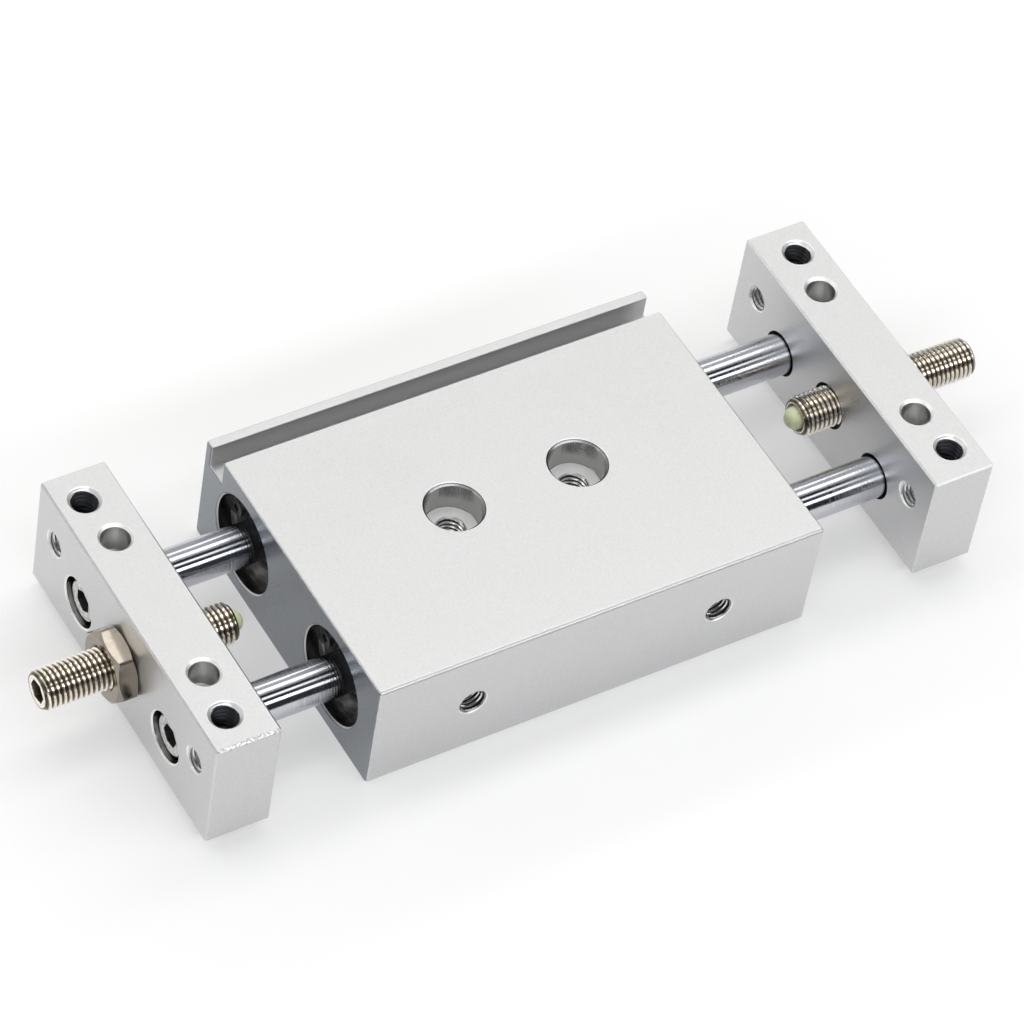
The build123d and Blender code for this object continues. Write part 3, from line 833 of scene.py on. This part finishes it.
def lock_nut(side, turn):
    """One thin hexagon nut, from the plate at 0 to its outer face."""
    low, high = nut_box[side]
    thickness = high.x - low.x
    shape = bmesh.new()
    flats = hexagon(nut_width)
    bore = circle(stop_crest + nut_clearance)
    mouth = circle(stop_crest + nut_countersink)
    loops = [ring_of(shape, 0.0, mouth)]
    for x, radius_at in (
        (0.0, circle(nut_face)),
        (0.0, flats),
        (thickness / 2, flats),
        (thickness, flats),
        (thickness, circle(nut_face)),
        (thickness, circle(stop_crest + 0.5)),
        (thickness - nut_countersink, bore),
        (nut_countersink, bore),
        (0.0, mouth),
    ):
        loops.append(grow(shape, loops[-1], x, radius_at))
    for index, base, way in ((2, 0.0, 1), (4, thickness, -1)):
        for point in {v for e in loops[index] for v in e.verts}:
            radius = math.hypot(point.co.y, point.co.z)
            point.co.x = base + way * (radius - nut_face) * nut_slope
    bmesh.ops.remove_doubles(shape, verts=shape.verts, dist=1e-4)
    soft = [e for e in shape.edges if e.calc_face_angle(0) > math.radians(50) and len(e.link_faces) == 2]
    soft = [e for e in soft if abs(e.verts[0].co.x - e.verts[1].co.x) > 0.5]
    bmesh.ops.bevel(shape, geom=soft, offset=0.18, segments=2, profile=0.5, affect="EDGES", material=-1)
    turn_outwards(shape)
    inner_x = high.x if OUTWARDS[side] < 0 else low.x
    place = facing(side, inner_x, 0.0, stop_z, turn=turn)
    return put(
        shape, f"hexagon_lock_nut_{side}", "rod_frame", [shaded_nut_nickel], place,
        [f"lock_nut_{side}"], crisp=25,
    )


nut_turns = {"left": -8.5, "right": 12.0}
for side in SIDES:
    lock_nut(side, nut_turns[side])

# %% [markdown]
# ## Soft tips
#
# The urethane tips are cast, pale green and slightly clear. Light enters them and comes out again a
# little further on, which the shader's subsurface setting does. The tip is a long stem in the bolt with a
# dome in front, so its outline is a quarter circle and a straight line.

# %% Make both soft tips
urethane = Finish(
    "bumper_cast_urethane", (0.62, 0.66, 0.42), 0.0, 0.34, IOR=1.5,
    Subsurface_Weight=0.55, Subsurface_Radius=(1.0, 1.0, 0.5), Subsurface_Scale=0.0012,
)
cast_skin = urethane.noise(1.1, detail=3.0)
milky = urethane.mixed(cast_skin.step(0.3, 0.75), (0.6, 0.64, 0.4), (0.7, 0.74, 0.52))
urethane.feed("Base Color", milky)
urethane.feed("Roughness", 0.28 + 0.14 * cast_skin)
urethane.bump(0.006 * cast_skin)


def soft_tip(side):
    """One soft tip, with its dome towards -X and its stem in the bolt."""
    low, high = bumper_box[side]
    length = high.x - low.x
    radius = (high.z - low.z) / 2 - 0.01
    outline = [(0.01, 0.0)]
    for angle in range(12, 91, 13):
        turned_by = math.radians(angle)
        outline.append((radius + 0.01 - radius * math.cos(turned_by), radius * math.sin(turned_by)))
    outline += [(length, radius), (length, 0.0)]
    shape = bmesh.new()
    lathe(shape, outline, steps=72)
    turn_outwards(shape)
    tip_x = high.x if OUTWARDS[side] < 0 else low.x
    place = facing(side, tip_x, 0.0, stop_z)
    return put(
        shape, f"domed_tip_{side}", f"{side}_stop_feed", [urethane], place,
        [f"bumper_{side}"], crisp=60,
    )


for side in SIDES:
    soft_tip(side)

# %% [markdown]
# ## Socket head screws
#
# Two socket head screws in each plate hold the rods. Their heads are rolled with a straight knurl for
# the fingers. Alternate points of a ring are moved in a little, and extruding that ring gives the knurl.

# %% Make the rod screws
screw_head_radius = 4.25
screw_head_height = 5.0
screw_socket_width = 4.0
screw_socket_depth = 2.5
screw_radius = 2.5
knurl_depth = 0.14


def rod_screw(side, row):
    """One screw, from its tip at 0 to the face of its head."""
    low, high = screw_box[side]
    length = high.x - low.x
    head = length - screw_head_height
    shape = bmesh.new()
    teeth = 96
    spacing = math.tau / teeth

    def knurl(angle):
        tooth = round(angle / spacing) % 2
        return screw_head_radius - knurl_depth * tooth

    outline = [
        (0.0, circle(screw_radius - 0.4)), (0.4, circle(screw_radius)), (head, circle(screw_radius)),
        (head, circle(screw_head_radius - 0.35)), (head + 0.3, circle(screw_head_radius - 0.16)),
        (head + 0.5, knurl), (length - 1.0, knurl), (length - 0.75, circle(screw_head_radius - 0.05)),
        (length - 0.5, circle(screw_head_radius - 0.05)), (length, circle(screw_head_radius - 0.5)),
        (length, circle(2.6)), (length - 0.12, hexagon(screw_socket_width)),
        (length - screw_socket_depth, hexagon(screw_socket_width)),
    ]
    first = ring_of(shape, *outline[0])
    last = first
    for x, radius_at in outline[1:]:
        last = grow(shape, last, x, radius_at)
    close_with_point(shape, first, (0.0, 0, 0))
    close_with_point(shape, last, (length - screw_socket_depth - 0.3, 0, 0))
    tip_x = high.x if OUTWARDS[side] < 0 else low.x
    turn = {"near": 17.0, "far": 43.0}[row] + 8 * OUTWARDS[side]
    place = facing(side, tip_x, ROWS[row] * bore_y, rod_height, turn=turn)
    return shape, place


def rod_screws(side):
    """Both screws of one plate as one piece."""
    both = bmesh.new()
    for row in ROWS:
        shape, place = rod_screw(side, row)
        shape.transform(place)
        add_to(both, shape)
    return put(
        both, f"socket_screws_{side}", "rod_frame", [steel], Matrix.Identity(4),
        [f"rod_screws_{side}"],
    )


for side in SIDES:
    rod_screws(side)

# %% [markdown]
# ## Tapped holes
#
# The solids have plain round holes, at the full diameter of each thread. A tapped hole shows rings of
# thread where the light reaches in, and the eye misses them at once. Each thread is made as a thin sleeve
# that lines its hole: the ridges stand inwards from the wall, and the back is a plain tube sunk in the
# metal. At its mouth the thread gives way to a smooth, bright countersink, so the faces of the sleeve get
# one of two finishes, by how far they are from the mouth.

# %% The thread sleeve
# Painted shade: the thread in the plates' top taps is painted nearly black all over.
shaded_thread = turned("thread_painted_shade", (0.03, 0.031, 0.034), 0.34)
countersink = turned("countersink_bright_cut", (0.95, 0.95, 0.95), 0.45)
tooth_share = 0.5413


def cut_thread(name, lines, root_shade_tone):
    """Fresh thread, bright on its crests, with painted shade in its roots. lines gives every hole."""
    finish = Finish(name, (0.9, 0.9, 0.9), 1.0, 0.2)
    smears = finish.noise(0.4, detail=3.0)
    roots = []
    for direction, first, second, wall, pitch in lines:
        depth = finish.distance_to_line(direction, first, second)
        crest = wall - tooth_share * pitch
        root = depth.step(crest + 0.1 * pitch, crest + 0.36 * pitch)
        roots.append(root * (1 - depth.step(wall + 0.5, wall + 0.6)))
    root = union(roots)
    colour = finish.mixed(smears.step(0.3, 0.7), (0.95, 0.95, 0.95), (0.72, 0.72, 0.72))
    # Painted shade: the roots take the given dark tone.
    finish.feed("Base Color", finish.mixed(root, colour, (root_shade_tone, root_shade_tone, root_shade_tone)))
    finish.feed("Roughness", 0.16 + 0.1 * smears + 0.2 * root)
    return finish


thread_sink = 0.12


def sleeve(shape, pitch, wall, length, sink, place, both_ends=False, inside=0):
    """Add one threaded sleeve for a hole of that radius, from 0 along +X, with a countersink that deep.

    inside is the number of the finish that its thread has. Its countersink has finish 1.
    """
    made = bmesh.new()
    lining = wall - 0.015

    def countersunk(x, radius):
        from_end = min(x, length - x) if both_ends else x
        cone = lining - max(0.0, min(from_end, sink))
        share = min(1.0, max(0.0, (from_end - sink) / (0.3 * pitch)))
        return cone + (radius - cone) * share

    thread(made, pitch, lining, wall - tooth_share * pitch, length, steps=40, cone=countersunk)
    first = rim(made, 0.0)
    last = rim(made, length)
    for face in made.faces:
        face.material_index = 1 if face.calc_center_median().x < sink else inside
    outer_first = ring_of(made, 0.25, circle(wall + thread_sink), count=40)
    outer_last = ring_of(made, length - 0.25, circle(wall + thread_sink), count=40)
    bridge(made, first, outer_first)
    bridge(made, outer_first, outer_last)
    bridge(made, outer_last, last)
    made.transform(place)
    add_to(shape, made)


def pointing(x, y, z, axis, angle):
    """Place for a sleeve that starts at a point and runs another way than +X."""
    return Matrix.Translation((x, y, z)) @ Matrix.Rotation(math.radians(angle), 4, axis)


print("sleeve helper ready")

# %% Line the housing's tapped holes
pitch_of_6 = 1.0
pitch_of_5 = 0.8
port_mouth = 0.4
port_length = 5.0
housing_threads = bmesh.new()
housing_lines = [("Z", sign * body_hole_x, 0.0, body_thread, pitch_of_6) for sign in (-1, 1)]
housing_lines += [("Y", sign * port_x, rod_height, port_thread, pitch_of_5) for sign in (-1, 1)]
housing_thread = cut_thread("housing_cut_thread", housing_lines, 0.03)
for sign in (-1, 1):
    top = pointing(sign * body_hole_x, 0.0, housing_high.z - counterbore_depth, "Y", 90)
    length = housing_high.z - 2 * counterbore_depth
    sleeve(housing_threads, pitch_of_6, body_thread, length, 0.25, top, both_ends=True)
    port = pointing(sign * port_x, housing_low.y + port_mouth, rod_height, "Z", 90)
    sleeve(housing_threads, pitch_of_5, port_thread, port_length, 0.05, port)
put(
    housing_threads, "housing_cut_threads", "housing_body", [housing_thread, countersink],
    Matrix.Identity(4),
)

# %% Line the plates' tapped holes
mouth = 0.2
clear_of_end_tap = 0.15
end_lines = [("X", sign * end_tap_y, end_tap_z, end_thread, pitch_of_5) for sign in (-1, 1)]
end_tap_thread = cut_thread("plate_cut_thread", end_lines, 0.45)
for side in SIDES:
    threads = bmesh.new()
    low, high = plate_box[side]
    tap_x = middle_x[side] + OUTWARDS[side] * plate_tap_offset
    above = high.z - mouth - (end_tap_z + end_thread + clear_of_end_tap)
    below = (end_tap_z - end_thread - clear_of_end_tap) - low.z - mouth
    for sign in (-1, 1):
        for z, angle, length in ((high.z - mouth, 90, above), (low.z + mouth, -90, below)):
            place = pointing(tap_x, sign * plate_tap_y, z, "Y", angle)
            sleeve(threads, pitch_of_6, plate_thread, length, 0.5, place, inside=2)
        inner = tap_x - plate_thread - low.x - mouth - clear_of_end_tap
        outer = high.x - tap_x - plate_thread - mouth - clear_of_end_tap
        for x, angle, length in ((low.x + mouth, 0, inner), (high.x - mouth, 180, outer)):
            place = pointing(x, sign * end_tap_y, end_tap_z, "Y", angle)
            sleeve(threads, pitch_of_5, end_thread, length, 0.1, place)
    put(
        threads, f"plate_cut_threads_{side}", "rod_frame", [end_tap_thread, countersink, shaded_thread],
        Matrix.Identity(4),
    )

# %% [markdown]
# ## Camera
#
# The view is that of a long lens held high on the left. The camera looks down at 41 degrees from the
# vertical, turned 38 degrees to the right, and it was tilted a little about its own axis. Long lenses keep
# parallel edges nearly parallel, so the distance matters as much as the angle.

# %% Set the camera
focal_length = 193.02
camera_place = (-0.401015, -0.510120, 0.759262)
camera_heading = -38.184
camera_height_angle = 41.176
camera_roll = 10.794
camera_data = bpy.data.cameras.new("long_lens")
camera_data.lens = focal_length
camera_data.clip_start = 0.05
camera_data.clip_end = 20.0
camera = bpy.data.objects.new("camera", camera_data)
bpy.context.scene.collection.objects.link(camera)
camera.matrix_world = (
    Matrix.Translation(camera_place)
    @ Matrix.Rotation(math.radians(camera_heading), 4, "Z")
    @ Matrix.Rotation(math.radians(camera_height_angle), 4, "X")
    @ Matrix.Rotation(math.radians(camera_roll), 4, "Z")
)
bpy.context.scene.camera = camera
print("camera at", [round(v, 3) for v in camera.matrix_world.translation])

# %% [markdown]
# ## Floor and light
#
# Shiny metal shows the room more than itself, so the room is built with care. The floor is pale paper.
# The sky is an even soft white, and long strip lamps hang over it, parallel to the rods: each draws one
# bright line along a rod. Between them hang dark cards. Photographers call them flags, and they draw the
# dark lines that make chrome look like chrome. Lamps and cards are all placed by one angle, which is how
# far they lean from straight up towards the near side. The camera doesn't see them, but the metal does.

# %% Make the floor
def flat_card(name, width, depth, place, material):
    """Flat sheet that is part of the room."""
    shape = bmesh.new()
    bmesh.ops.create_grid(shape, x_segments=1, y_segments=1, size=0.5)
    shape.transform(place @ Matrix.Diagonal((width, depth, 1, 1)))
    mesh = bpy.data.meshes.new(name)
    shape.to_mesh(mesh)
    shape.free()
    mesh.materials.append(material)
    card = bpy.data.objects.new(name, mesh)
    bpy.context.scene.collection.objects.link(card)
    card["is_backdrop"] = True
    return card


floor_size = 5.0
floor_drop = 0.0002
paper_glow = 0.35
paper = Finish("pale_paper", (0.95, 0.95, 0.95), 0.0, 0.9, Specular_IOR_Level=0.0)
white = paper.node("ShaderNodeEmission", {}, Strength=1.0, output="Emission")
rays = paper.nodes.new("ShaderNodeLightPath")
seen = Wire(paper, rays.outputs["Is Camera Ray"]) + Wire(paper, rays.outputs["Is Glossy Ray"])
seen = seen + Wire(paper, rays.outputs["Is Transmission Ray"])
share = seen.smaller(1.0) * paper_glow
lit_paper = Wire(paper, paper.shader.outputs["BSDF"])
blend = paper.node("ShaderNodeMixShader", {}, share, lit_paper, white)
paper.links.new(blend.socket, paper.nodes["Material Output"].inputs["Surface"])
under_part = Matrix.Translation((0, 0, -floor_drop))
floor = flat_card("paper_floor", floor_size, floor_size, under_part, paper.material)
print(floor.name, floor_size, "m wide")

# %% Make the even sky
world = bpy.data.worlds.new("even_sky")
bpy.context.scene.world = world
world.use_nodes = True
sky = world.node_tree.nodes["Background"].inputs
sky["Color"].default_value = (0.985, 0.985, 0.975, 1)
sky["Strength"].default_value = 0.6
print("sky strength", round(sky["Strength"].default_value, 2))

# %% Hang the strip lamps and the black cards
reach = 1.0
bar_length = 3.0
end_card_place = 1.2
flag_black = Finish("flag_black", (0.05, 0.05, 0.055), 0.0, 0.9, Specular_IOR_Level=0.0)


def leaning(angle, distance=reach):
    """Place on an arc over the part, facing it, at an angle from straight up towards the near side."""
    up = math.radians(angle)
    where = Matrix.Translation((0, -distance * math.sin(up), distance * math.cos(up)))
    return where @ Matrix.Rotation(up, 4, "X")


def strip_lamp(name, start, end, brightness, colour):
    """Long lamp that fills the arc from one angle to another."""
    width = 2 * reach * math.tan(math.radians((end - start) / 2))
    lamp = bpy.data.lights.new(name, "AREA")
    lamp.shape = "RECTANGLE"
    lamp.size = bar_length
    lamp.size_y = width
    lamp.energy = brightness * math.pi * bar_length * width
    lamp.color = colour
    holder = bpy.data.objects.new(name, lamp)
    bpy.context.scene.collection.objects.link(holder)
    holder.matrix_world = leaning((start + end) / 2)
    holder.visible_camera = False


def black_card(name, start, end):
    """Long black card that fills the arc from one angle to another, just behind the lamps."""
    distance = reach * 1.05
    width = 2 * distance * math.tan(math.radians((end - start) / 2))
    card = flat_card(name, bar_length, width, leaning((start + end) / 2, distance), flag_black.material)
    card.visible_camera = False


warm_white = (1.0, 0.995, 0.98)
cool_white = (0.96, 0.975, 1.0)
strip_lamp("strip_far_low", -51, -44, 2.5, warm_white)
strip_lamp("strip_far_high", -22, -8, 2.5, warm_white)
strip_lamp("strip_near_high", 19, 27, 1.3, warm_white)
strip_lamp("strip_near_low", 45, 56, 4.1, cool_white)
black_card("card_overhead", 3, 17)
black_card("card_near", 30, 43)
black_card("card_side", 59, 92)
for side in SIDES:
    stand = Matrix.Translation((OUTWARDS[side] * end_card_place, 0, 0.25))
    stand = stand @ Matrix.Rotation(math.pi / 2, 4, "Y")
    card = flat_card(f"card_end_{side}", 0.5, 2.0, stand, flag_black.material)
    card.visible_camera = False
bpy.context.scene.view_settings.view_transform = "Standard"
print("strips and cards hung at", reach, "m")

# %% [markdown]
# ## Compare the size
#
# The box of the dressed part and the box of the bare solids are compared, and the largest difference
# between them is printed.

# %% Compare the sizes
dressed_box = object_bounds()
boxes = {"cad": [list(v) for v in cad_box], "visual": [list(v) for v in dressed_box]}
growth = max(abs(a - b) for cad, visual in zip(*boxes.values()) for a, b in zip(cad, visual))
print("the boxes differ by at most", round(growth / MM, 3), "mm")
